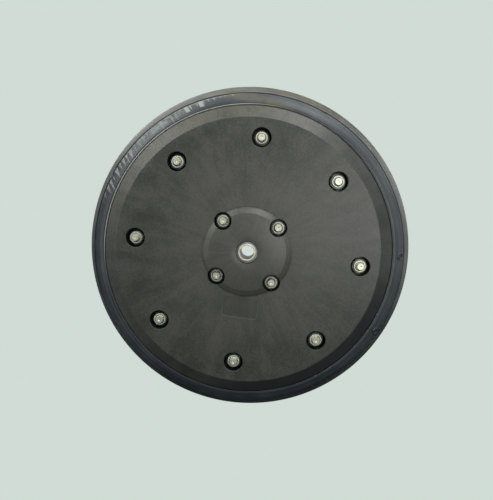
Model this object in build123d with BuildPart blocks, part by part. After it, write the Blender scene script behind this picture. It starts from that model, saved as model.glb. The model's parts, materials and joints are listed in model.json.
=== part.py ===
from build123d import *
import os
from math import cos, hypot, radians, sin, sqrt, tan

# A gauge wheel for field equipment. A hollow rubber tyre is clamped between two bolted nylon rim
# halves, which turn on two sealed ball bearings around a fixed axle sleeve.
# The axle runs along Y, the side with the nuts faces -Y, and Z is up.
# The origin is the middle of the axle bore. All sizes are in millimetres.

# Sizes of the tyre
tyre_diameter = 406.4
tyre_width = 114.0
crown_height = 16.6
sidewall_height = 15.4
shoulder_inset = 7.0
sidewall_bulge = 1.3
tread_thickness = 12.0
sidewall_thickness = 12.0
tyre_base_thickness = 12.0
tyre_vent_diameter = 6.0
tyre_fit = 0.1
tyre_edge_gap = 0.3

# Sizes of the axle sleeve and the bearings
axle_bore_diameter = 16.2
sleeve_wall = 1.9
sleeve_proud = 1.0
sleeve_edge_chamfer = 0.4
bearing_diameter = 42.0
bearing_width = 12.0
bearing_fit = 0.01
ball_diameter = 6.35
ball_circle_diameter = 31.0
ball_count = 9
ball_play = 0.02
ball_pocket_play = 0.12
raceway_radius = 3.3
seal_land_height = 2.315
inner_shoulder_height = 3.59
outer_shoulder_depth = 3.6
outer_land_depth = 2.4
seal_recess = 1.9
seal_thickness = 1.0
seal_inset = 0.4
seal_lip_height = 1.5
seal_lip_gap = 0.05
cage_thickness = 2.3
cage_width = 8.0
spacer_length = 12.0
spacer_wall = 2.3

# Sizes of the rim halves
rim_band_width = 15.1
disc_step = 7.0
rim_lip = 5.0
tyre_seat_depth = 13.2
hub_lip = 3.0
hub_lip_gap = 0.825
hub_wall = 11.0
hub_mouth_width = 6.5
hub_mouth_depth = 0.8
boss_diameter = 105.6
boss_bevel_width = 7.0
boss_bevel_height = 3.5
boss_crown_height = 3.0
panel_width = 41.5
panel_height = 24.5
panel_depth = 0.5
panel_corner_radius = 3.5
panel_gap = 1.7
disc_edge_round = 1.5
face_wall = 5.0
seat_wall = 7.0
web_thickness = 6.0
drum_wall = 9.0
drum_mouth_wall = 5.0
drum_root_radius = 4.0
rib_count = 8
rib_thickness = 4.0
gusset_hub_height = 8.0
gusset_rim_height = 32.0
gusset_run = 58.0
edge_round = 1.0

# Sizes of the fasteners and their pockets
wheel_turn = -7.2
outer_bolt_count = 8
outer_bolt_inset = 22.5
outer_pocket_diameter = 23.0
hub_bolt_count = 4
hub_bolt_circle_diameter = 92.4
hub_bolt_turn = 45.0
hub_pocket_diameter = 21.0
pocket_wall = 3.5
pocket_floor = 5.5
pocket_edge_round = 0.6
bolt_diameter = 10.0
bolt_length = 30.0
bolt_hole_play = 0.5
bolt_end_chamfer = 1.2
bolt_dimple_diameter = 2.8
bolt_dimple_depth = 0.8
wrench_size = 17.0
bolt_head_height = 6.4
hex_bevel_angle = 30.0
nut_hex_height = 7.2
nut_collar_height = 2.8
nut_collar_diameter = 14.4
nut_collar_round = 1.0
nut_mouth_diameter = 11.2
nut_mouth_lip = 0.7
insert_diameter = 12.6
insert_height = 2.4
thread_play = 0.02
washer_diameter = 20.0
washer_thickness = 2.0
washer_play = 0.2
outer_nut_turns = (58, 20, 45, 40, 17, 0, 30, 30)
hub_nut_turns = (10, 35, 50, 25)

# Places along the axle, from the nut side (low) to the arm side (high)
hub_half_length = spacer_length / 2 + bearing_width + hub_lip
sleeve_half_length = hub_half_length + sleeve_proud
bearing_middle = (spacer_length + bearing_width) / 2
parting = spacer_length / 2
boss_top = -hub_half_length
boss_shoulder = boss_top + boss_crown_height
disc_face = boss_shoulder + boss_bevel_height
front_edge = disc_face + disc_step
rear_edge = front_edge + tyre_width
tyre_middle = front_edge + tyre_width / 2
web_back = parting + web_thickness
pocket_bottom = parting - pocket_floor
nut_seat = pocket_bottom - washer_thickness
head_seat = web_back + washer_thickness

# Radii, from the axle outwards
bore_radius = axle_bore_diameter / 2
sleeve_radius = bore_radius + sleeve_wall
ring_bore_radius = sleeve_radius + bearing_fit
ball_radius = ball_diameter / 2
ball_circle_radius = ball_circle_diameter / 2
bearing_seat_radius = bearing_diameter / 2
ring_outer_radius = bearing_seat_radius - bearing_fit
seal_land_radius = ring_bore_radius + seal_land_height
hub_hole_radius = seal_land_radius + hub_lip_gap
barrel_radius = bearing_seat_radius + hub_wall
boss_radius = boss_diameter / 2
boss_shoulder_radius = boss_radius - boss_bevel_width
hub_crest_radius = hub_hole_radius + hub_mouth_width
hub_bolt_circle = hub_bolt_circle_diameter / 2
bolt_radius = bolt_diameter / 2
tyre_radius = tyre_diameter / 2
shoulder_radius = tyre_radius - crown_height
rim_edge_radius = shoulder_radius - sidewall_height
disc_radius = rim_edge_radius - rim_band_width
tyre_seat_radius = rim_edge_radius - tyre_seat_depth
seat_inner_radius = tyre_seat_radius - seat_wall
drum_inner_radius = tyre_seat_radius - drum_wall
drum_mouth_radius = tyre_seat_radius - drum_mouth_wall
outer_bolt_circle = disc_radius - outer_bolt_inset
panel_middle = boss_radius + panel_gap + panel_height / 2


def facing_front(place):
    """The plane across the axle at this place, seen from the nut side: X right, Z up."""
    return Plane.XZ.offset(-place)


def nut_places(circle, count, start, turns):
    """Places around a bolt circle, each with its own turn of the hexagon."""
    places = []
    for index in range(count):
        angle = radians(start + index * 360 / count)
        spot = (circle * cos(angle), circle * sin(angle), 0)
        places.append(Location(spot, (0, 0, turns[index % len(turns)])))
    return places


outer_nut_places = nut_places(outer_bolt_circle, outer_bolt_count, wheel_turn, outer_nut_turns)
hub_nut_places = nut_places(hub_bolt_circle, hub_bolt_count, wheel_turn + hub_bolt_turn, hub_nut_turns)
outer_spots = PolarLocations(outer_bolt_circle, outer_bolt_count, wheel_turn)
hub_spots = PolarLocations(hub_bolt_circle, hub_bolt_count, wheel_turn + hub_bolt_turn)
rib_turn = wheel_turn + 180 / rib_count

# The tyre: a crowned tread, two sidewalls and a flat base around one vented hollow
tyre_side_front = front_edge + rim_lip + tyre_fit
tyre_side_rear = rear_edge - rim_lip - tyre_fit
tyre_base_radius = tyre_seat_radius + tyre_fit
tyre_lip_radius = rim_edge_radius + tyre_edge_gap
tread_half_width = tyre_width / 2 - shoulder_inset
crown_arc_radius = (tread_half_width**2 + crown_height**2) / (2 * crown_height)
crown_arc_centre = tyre_radius - crown_arc_radius
cavity_half_width = tyre_width / 2 - rim_lip - sidewall_thickness
cavity_top_radius = tyre_radius - tread_thickness
cavity_floor_radius = tyre_base_radius + tyre_base_thickness
cavity_arc_radius = crown_arc_radius - tread_thickness
cavity_corner_radius = crown_arc_centre + sqrt(cavity_arc_radius**2 - cavity_half_width**2)
sidewall_middle_radius = (tyre_lip_radius + shoulder_radius) / 2
sidewall_middle = shoulder_inset / 2 - sidewall_bulge

with BuildPart() as tyre:
    with BuildSketch(Plane.XY):
        with BuildLine():
            Polyline(
                (tyre_lip_radius, front_edge),
                (tyre_lip_radius, tyre_side_front),
                (tyre_base_radius, tyre_side_front),
                (tyre_base_radius, tyre_side_rear),
                (tyre_lip_radius, tyre_side_rear),
                (tyre_lip_radius, rear_edge),
            )
            ThreePointArc(
                (tyre_lip_radius, rear_edge),
                (sidewall_middle_radius, rear_edge - sidewall_middle),
                (shoulder_radius, rear_edge - shoulder_inset),
            )
            ThreePointArc(
                (shoulder_radius, rear_edge - shoulder_inset),
                (tyre_radius, tyre_middle),
                (shoulder_radius, front_edge + shoulder_inset),
            )
            ThreePointArc(
                (shoulder_radius, front_edge + shoulder_inset),
                (sidewall_middle_radius, front_edge + sidewall_middle),
                (tyre_lip_radius, front_edge),
            )
        make_face()
        with BuildLine():
            Polyline(
                (cavity_corner_radius, tyre_middle - cavity_half_width),
                (cavity_floor_radius, tyre_middle - cavity_half_width),
                (cavity_floor_radius, tyre_middle + cavity_half_width),
                (cavity_corner_radius, tyre_middle + cavity_half_width),
            )
            ThreePointArc(
                (cavity_corner_radius, tyre_middle + cavity_half_width),
                (cavity_top_radius, tyre_middle),
                (cavity_corner_radius, tyre_middle - cavity_half_width),
            )
        make_face(mode=Mode.SUBTRACT)
    revolve(axis=Axis.Y)
    # The vent through the base lets the hollow breathe
    with BuildSketch(Plane.XY.offset(tyre_base_radius - tyre_base_thickness / 2)):
        with Locations((0, tyre_middle)):
            Circle(tyre_vent_diameter / 2)
    extrude(amount=2 * tyre_base_thickness, mode=Mode.SUBTRACT)

tyre.part.label = "tyre"
export_step(tyre.part, "parts/tyre.step")

# The outer rim half: the flat disc with its hub boss, nut pockets and front flange
boss_inside = boss_shoulder + face_wall
face_inside = disc_face + face_wall

with BuildPart() as outer_rim_half:
    with BuildSketch(Plane.XY) as outer_rim_profile:
        with BuildLine():
            TangentArc(
                (hub_crest_radius, boss_top),
                (hub_hole_radius, boss_top + hub_mouth_depth),
                tangent=(-1, 0),
            )
            TangentArc(
                (hub_crest_radius, boss_top), (boss_shoulder_radius, boss_shoulder), tangent=(1, 0)
            )
            Polyline(
                (boss_shoulder_radius, boss_shoulder),
                (boss_radius, disc_face),
                (disc_radius, disc_face),
                (rim_edge_radius, front_edge),
                (rim_edge_radius, front_edge + rim_lip),
                (tyre_seat_radius, front_edge + rim_lip),
                (tyre_seat_radius, parting),
                (seat_inner_radius, parting),
                (seat_inner_radius, face_inside),
                (boss_radius, face_inside),
                (boss_shoulder_radius, boss_inside),
                (barrel_radius, boss_inside),
                (barrel_radius, parting),
                (bearing_seat_radius, parting),
                (bearing_seat_radius, boss_top + hub_lip),
                (hub_hole_radius, boss_top + hub_lip),
                (hub_hole_radius, boss_top + hub_mouth_depth),
            )
        make_face()
        disc_edge = (disc_radius, disc_face)
        boss_foot = (boss_radius, disc_face)
        boss_brow = (boss_shoulder_radius, boss_shoulder)
        for corner in (disc_edge, boss_foot, boss_brow):
            fillet(outer_rim_profile.vertices().sort_by_distance(corner)[0], disc_edge_round)
        flange_corners = outer_rim_profile.vertices().filter_by_position(
            Axis.X, rim_edge_radius - edge_round / 2, rim_edge_radius + edge_round / 2
        )
        fillet(flange_corners, edge_round)
    revolve(axis=Axis.Y)
    # The shallow blank panel below the boss
    with BuildSketch(facing_front(disc_face + panel_depth)):
        with PolarLocations(panel_middle, 1, wheel_turn - 90):
            RectangleRounded(panel_height, panel_width, panel_corner_radius)
    extrude(amount=panel_depth, mode=Mode.SUBTRACT)
    # Ribs between the hub barrel and the tyre seat, inside the closed rim
    with BuildSketch(facing_front(parting)):
        with PolarLocations((barrel_radius + seat_inner_radius) / 2, rib_count, rib_turn):
            Rectangle(seat_inner_radius - barrel_radius + face_wall, rib_thickness)
    extrude(amount=parting - face_inside)
    # Cups that carry the nuts, then their pockets and bolt holes
    with BuildSketch(facing_front(parting)):
        with outer_spots:
            Circle(outer_pocket_diameter / 2 + pocket_wall)
        with hub_spots:
            Circle(hub_pocket_diameter / 2 + pocket_wall)
    extrude(amount=parting - face_inside)
    with BuildSketch(facing_front(pocket_bottom)):
        with outer_spots:
            Circle(outer_pocket_diameter / 2)
        with hub_spots:
            Circle(hub_pocket_diameter / 2)
    extrude(amount=pocket_bottom - boss_top, mode=Mode.SUBTRACT)
    with BuildSketch(facing_front(parting)):
        with outer_spots:
            Circle(bolt_radius + bolt_hole_play)
        with hub_spots:
            Circle(bolt_radius + bolt_hole_play)
    extrude(amount=pocket_floor, mode=Mode.SUBTRACT)
    pocket_mouths = (
        outer_rim_half.edges()
        .filter_by(GeomType.CIRCLE)
        .filter_by(lambda edge: abs(edge.radius - outer_pocket_diameter / 2) < pocket_edge_round / 2)
        .filter_by(lambda edge: abs(edge.arc_center.Y - disc_face) < pocket_edge_round / 2)
    )
    fillet(pocket_mouths, pocket_edge_round)

outer_rim_half.part.label = "outer_rim_half"
export_step(outer_rim_half.part, "parts/outer_rim_half.step")

# The inner rim half: the web, the rear bearing seat, the drum under the tyre and the rear flange
gusset_hub_top = web_back + gusset_hub_height
gusset_rim_top = web_back + gusset_rim_height
gusset_turn_radius = drum_inner_radius - gusset_run

with BuildPart() as inner_rim_half:
    with BuildSketch(Plane.XY) as inner_rim_profile:
        with BuildLine():
            Polyline(
                (bearing_seat_radius, parting),
                (tyre_seat_radius, parting),
                (tyre_seat_radius, rear_edge - rim_lip),
                (rim_edge_radius, rear_edge - rim_lip),
                (rim_edge_radius, rear_edge),
                (drum_mouth_radius, rear_edge),
                (drum_inner_radius, web_back),
                (barrel_radius, web_back),
                (barrel_radius, hub_half_length),
                (hub_hole_radius, hub_half_length),
                (hub_hole_radius, hub_half_length - hub_lip),
                (bearing_seat_radius, hub_half_length - hub_lip),
                close=True,
            )
        make_face()
        drum_root = inner_rim_profile.vertices().sort_by_distance((drum_inner_radius, web_back))[0]
        fillet(drum_root, drum_root_radius)
        flange_tips = inner_rim_profile.vertices().filter_by_position(
            Axis.X, rim_edge_radius - edge_round / 2, rim_edge_radius + edge_round / 2
        )
        fillet(flange_tips, edge_round)
        drum_mouth = inner_rim_profile.vertices().sort_by_distance((drum_mouth_radius, rear_edge))[0]
        fillet(drum_mouth, edge_round)
    revolve(axis=Axis.Y)
    # Gussets in the dish, from the hub barrel up to the drum
    gusset_plane = Plane(origin=(0, 0, 0), x_dir=(1, 0, 0), z_dir=(0, 0, 1))
    for index in range(rib_count):
        turned = gusset_plane.rotated((0, -(rib_turn + 360 * index / rib_count), 0))
        with BuildSketch(turned):
            Polygon(
                (barrel_radius - hub_wall / 2, web_back - web_thickness / 2),
                (barrel_radius - hub_wall / 2, gusset_hub_top),
                (gusset_turn_radius, gusset_hub_top),
                (drum_inner_radius + drum_mouth_wall / 2, gusset_rim_top),
                (drum_inner_radius + drum_mouth_wall / 2, web_back - web_thickness / 2),
                align=None,
            )
        extrude(amount=rib_thickness / 2, both=True)
    gusset_tops = (
        inner_rim_half.edges()
        .filter_by(GeomType.LINE)
        .filter_by(lambda edge: edge.center().Y > gusset_hub_top - edge_round / 2)
        .filter_by(lambda edge: hypot(edge.center().X, edge.center().Z) < drum_inner_radius - face_wall)
    )
    fillet(gusset_tops, edge_round)
    with BuildSketch(facing_front(web_back)):
        with outer_spots:
            Circle(bolt_radius + bolt_hole_play)
        with hub_spots:
            Circle(bolt_radius + bolt_hole_play)
    extrude(amount=web_thickness, mode=Mode.SUBTRACT)

inner_rim_half.part.label = "inner_rim_half"
export_step(inner_rim_half.part, "parts/inner_rim_half.step")

# The axle sleeve, which the axle bolt clamps against the arm
with BuildPart() as axle_sleeve:
    with BuildSketch(facing_front(sleeve_half_length)):
        Circle(sleeve_radius)
        Circle(bore_radius, mode=Mode.SUBTRACT)
    extrude(amount=2 * sleeve_half_length)
    outside_edges = (
        axle_sleeve.edges()
        .filter_by(GeomType.CIRCLE)
        .filter_by(lambda edge: edge.radius > sleeve_radius - sleeve_wall / 2)
    )
    chamfer(outside_edges, sleeve_edge_chamfer)

axle_sleeve.part.label = "axle_sleeve"
export_step(axle_sleeve.part, "parts/axle_sleeve.step")

# The two tubes that hold the bearings apart
with BuildPart() as inner_race_spacer:
    with BuildSketch(facing_front(spacer_length / 2)):
        Circle(ring_bore_radius + spacer_wall)
        Circle(ring_bore_radius, mode=Mode.SUBTRACT)
    extrude(amount=spacer_length)

inner_race_spacer.part.label = "inner_race_spacer"
export_step(inner_race_spacer.part, "parts/inner_race_spacer.step")

with BuildPart() as outer_race_spacer:
    with BuildSketch(facing_front(spacer_length / 2)):
        Circle(ring_outer_radius)
        Circle(ring_outer_radius - spacer_wall, mode=Mode.SUBTRACT)
    extrude(amount=spacer_length)

outer_race_spacer.part.label = "outer_race_spacer"
export_step(outer_race_spacer.part, "parts/outer_race_spacer.step")


def make_bearing(side, middle):
    """One sealed ball bearing: two rings, nine balls in their cage, and two seals."""
    half = bearing_width / 2
    shoulder = half - seal_recess
    inner_shoulder_radius = ring_bore_radius + inner_shoulder_height
    outer_shoulder_radius = ring_outer_radius - outer_shoulder_depth
    outer_land_radius = ring_outer_radius - outer_land_depth

    with BuildPart() as inner_ring:
        with BuildSketch(Plane.XY):
            Polygon(
                (ring_bore_radius, middle - half),
                (seal_land_radius, middle - half),
                (seal_land_radius, middle - shoulder),
                (inner_shoulder_radius, middle - shoulder),
                (inner_shoulder_radius, middle + shoulder),
                (seal_land_radius, middle + shoulder),
                (seal_land_radius, middle + half),
                (ring_bore_radius, middle + half),
                align=None,
            )
            with Locations((ball_circle_radius - ball_radius - ball_play + raceway_radius, middle)):
                Circle(raceway_radius, mode=Mode.SUBTRACT)
        revolve(axis=Axis.Y)

    inner_ring.part.label = f"{side}_bearing_inner_ring"
    export_step(inner_ring.part, f"parts/{side}_bearing_inner_ring.step")

    with BuildPart() as outer_ring:
        with BuildSketch(Plane.XY):
            Polygon(
                (ring_outer_radius, middle - half),
                (outer_land_radius, middle - half),
                (outer_land_radius, middle - shoulder),
                (outer_shoulder_radius, middle - shoulder),
                (outer_shoulder_radius, middle + shoulder),
                (outer_land_radius, middle + shoulder),
                (outer_land_radius, middle + half),
                (ring_outer_radius, middle + half),
                align=None,
            )
            with Locations((ball_circle_radius + ball_radius + ball_play - raceway_radius, middle)):
                Circle(raceway_radius, mode=Mode.SUBTRACT)
        revolve(axis=Axis.Y)

    outer_ring.part.label = f"{side}_bearing_outer_ring"
    export_step(outer_ring.part, f"parts/{side}_bearing_outer_ring.step")

    with BuildPart(facing_front(middle)) as balls:
        with PolarLocations(ball_circle_radius, ball_count):
            Sphere(ball_radius)

    balls.part.label = f"{side}_bearing_balls"
    export_step(balls.part, f"parts/{side}_bearing_balls.step")

    with BuildPart(facing_front(middle)) as cage:
        with BuildSketch(facing_front(middle + cage_width / 2)):
            Circle(ball_circle_radius + cage_thickness / 2)
            Circle(ball_circle_radius - cage_thickness / 2, mode=Mode.SUBTRACT)
        extrude(amount=cage_width)
        with PolarLocations(ball_circle_radius, ball_count):
            Cylinder(ball_radius + ball_pocket_play, cage_width, rotation=(0, 90, 0), mode=Mode.SUBTRACT)

    cage.part.label = f"{side}_bearing_cage"
    export_step(cage.part, f"parts/{side}_bearing_cage.step")

    # Each seal is fixed in the outer ring, and its lip runs just clear of the inner ring
    for end, outwards in (("front", -1), ("rear", 1)):
        outside = middle + outwards * (half - seal_inset)
        inside = outside - outwards * seal_thickness
        lip_middle = outside - outwards * seal_thickness / 2
        with BuildPart() as seal:
            with BuildSketch(Plane.XY):
                Polygon(
                    (seal_land_radius + seal_lip_gap, lip_middle),
                    (seal_land_radius + seal_lip_gap, inside),
                    (outer_land_radius - bearing_fit, inside),
                    (outer_land_radius - bearing_fit, outside),
                    (seal_land_radius + seal_lip_gap + seal_lip_height, outside),
                    align=None,
                )
            revolve(axis=Axis.Y)

        seal.part.label = f"{side}_bearing_{end}_seal"
        export_step(seal.part, f"parts/{side}_bearing_{end}_seal.step")


make_bearing("front", -bearing_middle)
make_bearing("rear", bearing_middle)

# One bolt, one nut and one insert, each standing on its seat with its axis along Z
hex_corner_radius = wrench_size / 2 / cos(radians(30))
hex_bevel_drop = (hex_corner_radius - wrench_size / 2) * tan(radians(hex_bevel_angle))
nut_height = nut_hex_height + nut_collar_height
insert_top = nut_height - nut_mouth_lip
insert_bottom = insert_top - insert_height

with BuildPart() as one_bolt:
    with BuildSketch():
        RegularPolygon(wrench_size / 2, 6, major_radius=False)
    extrude(amount=-bolt_head_height)
    with BuildSketch(Plane.XZ):
        Polygon(
            (0, 0),
            (hex_corner_radius, 0),
            (hex_corner_radius, hex_bevel_drop - bolt_head_height),
            (wrench_size / 2, -bolt_head_height),
            (0, -bolt_head_height),
            align=None,
        )
    revolve(axis=Axis.Z, mode=Mode.INTERSECT)
    with BuildSketch():
        Circle(bolt_radius)
    extrude(amount=bolt_length)
    chamfer(one_bolt.faces().sort_by(Axis.Z)[-1].edges(), bolt_end_chamfer)
    with BuildSketch(Plane.XZ):
        Polygon(
            (0, bolt_length),
            (bolt_dimple_diameter / 2, bolt_length),
            (0, bolt_length - bolt_dimple_depth),
            align=None,
        )
    revolve(axis=Axis.Z, mode=Mode.SUBTRACT)

with BuildPart() as one_nut:
    with BuildSketch():
        RegularPolygon(wrench_size / 2, 6, major_radius=False)
    extrude(amount=nut_hex_height)
    with BuildSketch(Plane.XZ):
        Polygon(
            (0, 0),
            (wrench_size / 2, 0),
            (hex_corner_radius, hex_bevel_drop),
            (hex_corner_radius, nut_hex_height - hex_bevel_drop),
            (wrench_size / 2, nut_hex_height),
            (0, nut_hex_height),
            align=None,
        )
    revolve(axis=Axis.Z, mode=Mode.INTERSECT)
    with BuildSketch(Plane.XY.offset(nut_hex_height)):
        Circle(nut_collar_diameter / 2)
    extrude(amount=nut_collar_height)
    fillet(one_nut.faces().sort_by(Axis.Z)[-1].edges(), nut_collar_round)
    with BuildSketch(Plane.XZ):
        Polygon(
            (0, 0),
            (bolt_radius + thread_play, 0),
            (bolt_radius + thread_play, insert_bottom),
            (insert_diameter / 2, insert_bottom),
            (insert_diameter / 2, insert_top),
            (nut_mouth_diameter / 2, insert_top),
            (nut_mouth_diameter / 2, nut_height),
            (0, nut_height),
            align=None,
        )
    revolve(axis=Axis.Z, mode=Mode.SUBTRACT)

with BuildPart() as one_insert:
    with BuildSketch(Plane.XY.offset(insert_bottom)):
        Circle(insert_diameter / 2 - thread_play)
        Circle(bolt_radius + thread_play, mode=Mode.SUBTRACT)
    extrude(amount=insert_height)

# The clamping fasteners: one circle near the rim and one around the hub
fastener_groups = (
    ("outer", outer_spots, outer_nut_places),
    ("hub", hub_spots, hub_nut_places),
)
for group, spots, places in fastener_groups:
    with BuildPart(facing_front(head_seat)) as bolts:
        with spots:
            add(one_bolt.part)

    bolts.part.label = f"{group}_bolts"
    export_step(bolts.part, f"parts/{group}_bolts.step")

    with BuildPart(facing_front(nut_seat)) as nuts:
        with Locations(*places):
            add(one_nut.part)

    nuts.part.label = f"{group}_nuts"
    export_step(nuts.part, f"parts/{group}_nuts.step")

    with BuildPart(facing_front(nut_seat)) as inserts:
        with spots:
            add(one_insert.part)

    inserts.part.label = f"{group}_nut_inserts"
    export_step(inserts.part, f"parts/{group}_nut_inserts.step")

    for end, seat in (("nut", pocket_bottom), ("bolt", head_seat)):
        with BuildPart() as washers:
            with BuildSketch(facing_front(seat)):
                with spots:
                    Circle(washer_diameter / 2)
                    Circle(bolt_radius + washer_play, mode=Mode.SUBTRACT)
            extrude(amount=washer_thickness)

        washers.part.label = f"{group}_{end}_washers"
        export_step(washers.part, f"parts/{group}_{end}_washers.step")
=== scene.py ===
# %% [markdown]
# # Dressing a gauge wheel
# A gauge wheel rolls beside the opening discs of a planter and holds the seed at one depth. Its hollow
# rubber tyre is clamped between two nylon rim halves by a ring of bolts. The measured solids come in
# first, as a frame that never moves. All that follows is about looks.

# %% Bring in the measured frame
import json
import math
from functools import reduce
from types import SimpleNamespace

import bpy
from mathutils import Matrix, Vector


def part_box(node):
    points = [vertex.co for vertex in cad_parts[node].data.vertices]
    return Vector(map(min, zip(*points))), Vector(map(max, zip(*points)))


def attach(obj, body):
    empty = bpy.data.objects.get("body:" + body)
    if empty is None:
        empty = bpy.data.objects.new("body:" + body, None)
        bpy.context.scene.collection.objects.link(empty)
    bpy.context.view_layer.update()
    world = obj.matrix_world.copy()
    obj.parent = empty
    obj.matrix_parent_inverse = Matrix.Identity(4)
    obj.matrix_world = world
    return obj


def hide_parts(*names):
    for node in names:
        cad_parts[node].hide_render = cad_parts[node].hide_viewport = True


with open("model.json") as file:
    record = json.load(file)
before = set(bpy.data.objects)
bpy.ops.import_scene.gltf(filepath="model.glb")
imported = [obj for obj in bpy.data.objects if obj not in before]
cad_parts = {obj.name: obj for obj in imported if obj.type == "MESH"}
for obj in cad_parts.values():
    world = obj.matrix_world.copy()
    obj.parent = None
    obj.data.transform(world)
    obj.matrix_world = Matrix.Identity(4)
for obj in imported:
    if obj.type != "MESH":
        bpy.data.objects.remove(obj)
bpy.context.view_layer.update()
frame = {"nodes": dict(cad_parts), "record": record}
nodes = frame["nodes"]

# %% [markdown]
# ## Sizes that everything shares
# The wheel turns about Y, its nut side faces -Y and Z is up. A few sizes are read from the solids, so
# the looks follow them if the frame ever changes. The others are plain millimetres, and mm() turns
# them into Blender's metres in one place.

# %% Sizes from the frame
METRE = 1000.0


def mm(*lengths):
    """Millimetres as metres: one number, or several as a tuple."""
    scaled = tuple(length / METRE for length in lengths)
    return scaled if len(scaled) > 1 else scaled[0]


tyre_low, tyre_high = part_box("tyre")
sleeve_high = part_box("axle_sleeve")[1]
nuts_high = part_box("outer_nuts")[1]
bolts_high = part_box("outer_bolts")[1]

tyre_radius = tyre_high.z * METRE
front_edge = tyre_low.y * METRE
rear_edge = tyre_high.y * METRE
tyre_middle = (front_edge + rear_edge) / 2
print("tyre radius", round(tyre_radius, 2), "mm, from", round(front_edge, 2), "to", round(rear_edge, 2))

# %% [markdown]
# ## The camera
# The photograph looks straight at the nut side, from a little to the right and a little above the axle,
# at arm's length. From that near, the boss looks large and the far side of the tyre hides behind its
# own shoulder, so the distance matters as much as the direction. Code aims the camera at a point on the
# wheel, which a hand can't do as exactly.

# %% Place the camera
camera_place = Vector(mm(19.5, -572.1, 50.3))
camera_aim = Vector(mm(-0.7, -14.5, 2.4))
camera_lens = 34.3

camera_data = bpy.data.cameras.new("camera")
camera_data.lens = camera_lens
camera = bpy.data.objects.new("camera", camera_data)
camera.location = camera_place
camera.rotation_euler = (camera_aim - camera_place).to_track_quat("-Z", "Y").to_euler()
bpy.context.scene.collection.objects.link(camera)
bpy.context.scene.camera = camera
bpy.context.scene.view_settings.view_transform = "Standard"
print("camera is", round((camera_aim - camera_place).length, 3), "m from the hub")

# %% [markdown]
# ## Nodes in few words
# A finish is a small graph of nodes. Clicking one together is quick, and writing it out is long, so
# short helpers do the clicking. A socket knows its finish, so no call has to name it.

# %% Helpers for nodes
def add_node(kind, inputs, **settings):
    """Add a node to the finish of its inputs, and set or link each of them."""
    tree = next(value.id_data for value in inputs.values() if isinstance(value, bpy.types.NodeSocket))
    made = tree.nodes.new(kind)
    for name, value in settings.items():
        setattr(made, name, value)
    for socket, value in inputs.items():
        if isinstance(value, bpy.types.NodeSocket):
            tree.links.new(value, made.inputs[socket])
        else:
            made.inputs[socket].default_value = value
    return made


def new_finish(name, colour, roughness, metallic=0.0, specular=0.5):
    """A new material, and its shader."""
    finish = bpy.data.materials.new(name)
    finish.use_nodes = True
    shader = finish.node_tree.nodes["Principled BSDF"]
    shader.inputs["Base Color"].default_value = (*colour, 1.0)
    shader.inputs["Roughness"].default_value = roughness
    shader.inputs["Metallic"].default_value = metallic
    shader.inputs["Specular IOR Level"].default_value = specular
    return finish, shader


def drive(socket, shader, name):
    """Link a socket to one of the shader's inputs."""
    socket.id_data.links.new(socket, shader.inputs[name])


def sums(operation, first, second=0.0, third=0.0):
    """The result of one piece of arithmetic."""
    inputs = {0: first, 1: second, 2: third}
    return add_node("ShaderNodeMath", inputs, operation=operation).outputs[0]


MIX_INPUTS = (0, 6, 7)


def tint(share, first, second):
    """Mix two colours, or two sockets of colour, by a share."""
    colours = [(*colour, 1.0) if isinstance(colour, tuple) else colour for colour in (first, second)]
    inputs = dict(zip(MIX_INPUTS, (share, *colours)))
    return add_node("ShaderNodeMix", inputs, data_type="RGBA").outputs[2]

# %% [markdown]
# ## Masks
# A mask is a number from nothing to one that says how strongly a mark shows at a point. Masks overlap
# when they are multiplied, and where several marks meet, the strongest wins. A fade turns any number
# into a mask with soft ends.

# %% Helpers for masks
fades = {}


def times(*masks):
    """Where all of the masks overlap."""
    return reduce(lambda first, second: sums("MULTIPLY", first, second), masks)


def strongest(*masks):
    """The strongest of several masks."""
    return reduce(lambda first, second: sums("MAXIMUM", first, second), masks)


def weigh(*pairs):
    """Add numbers up, each by its own weight."""
    total = 0.0
    for value, weight in pairs:
        total = sums("MULTIPLY_ADD", value, weight, total)
    return total


def fade(value, start, end, low=0.0, high=1.0):
    """A soft step: low until value reaches start, then smoothly to high at end."""
    inputs = {"Value": value, "From Min": start, "From Max": end, "To Min": low, "To Max": high}
    return add_node("ShaderNodeMapRange", inputs, interpolation_type="SMOOTHSTEP").outputs["Result"]


def soft(value, name):
    """A fade from the table."""
    return fade(value, *fades[name])


def between(value, start, end, margin):
    """One between start and end, and nothing outside them."""
    rising = fade(value, start - margin, start + margin)
    falling = fade(value, end - margin, end + margin, 1.0, 0.0)
    return times(rising, falling)

# %% [markdown]
# ## Where a point is
# Nearly all that happens on a wheel happens along its radius or round its axle, so a piece's own
# coordinates are turned into polar ones, and every pattern turns with the wheel.

# %% Helpers for places and grains
grains = {}


def object_place(finish):
    """Where a point is on its own piece, in metres."""
    return finish.node_tree.nodes.new("ShaderNodeTexCoord").outputs["Object"]


def polar_place(place):
    """Radius in millimetres, angle in degrees (0 to the right, 90 up), and millimetres along Y."""
    split = add_node("ShaderNodeSeparateXYZ", {0: place})
    across, along, up = split.outputs
    squared = sums("ADD", times(across, across), times(up, up))
    radius = times(sums("SQRT", squared), METRE)
    angle = times(sums("ARCTAN2", up, across), math.degrees(1.0))
    return radius, angle, times(along, METRE)


def along_line(place, right, up):
    """How far a point lies in one direction across the wheel's face, in millimetres."""
    line = (right * METRE, 0.0, up * METRE)
    made = add_node("ShaderNodeVectorMath", {0: place, 1: line}, operation="DOT_PRODUCT")
    return made.outputs["Value"]


def vector_of(x, y, z):
    """Three numbers as one vector."""
    return add_node("ShaderNodeCombineXYZ", {0: x, 1: y, 2: z}).outputs[0]


def noise(vector, scale, detail=2.0, roughness=0.5):
    """Cloudy noise, centred on a half."""
    inputs = {"Vector": vector, "Scale": scale, "Detail": detail, "Roughness": roughness}
    return add_node("ShaderNodeTexNoise", inputs).outputs[0]


def grain(place, name):
    """A noise from the table."""
    return noise(place, *grains[name])


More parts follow.
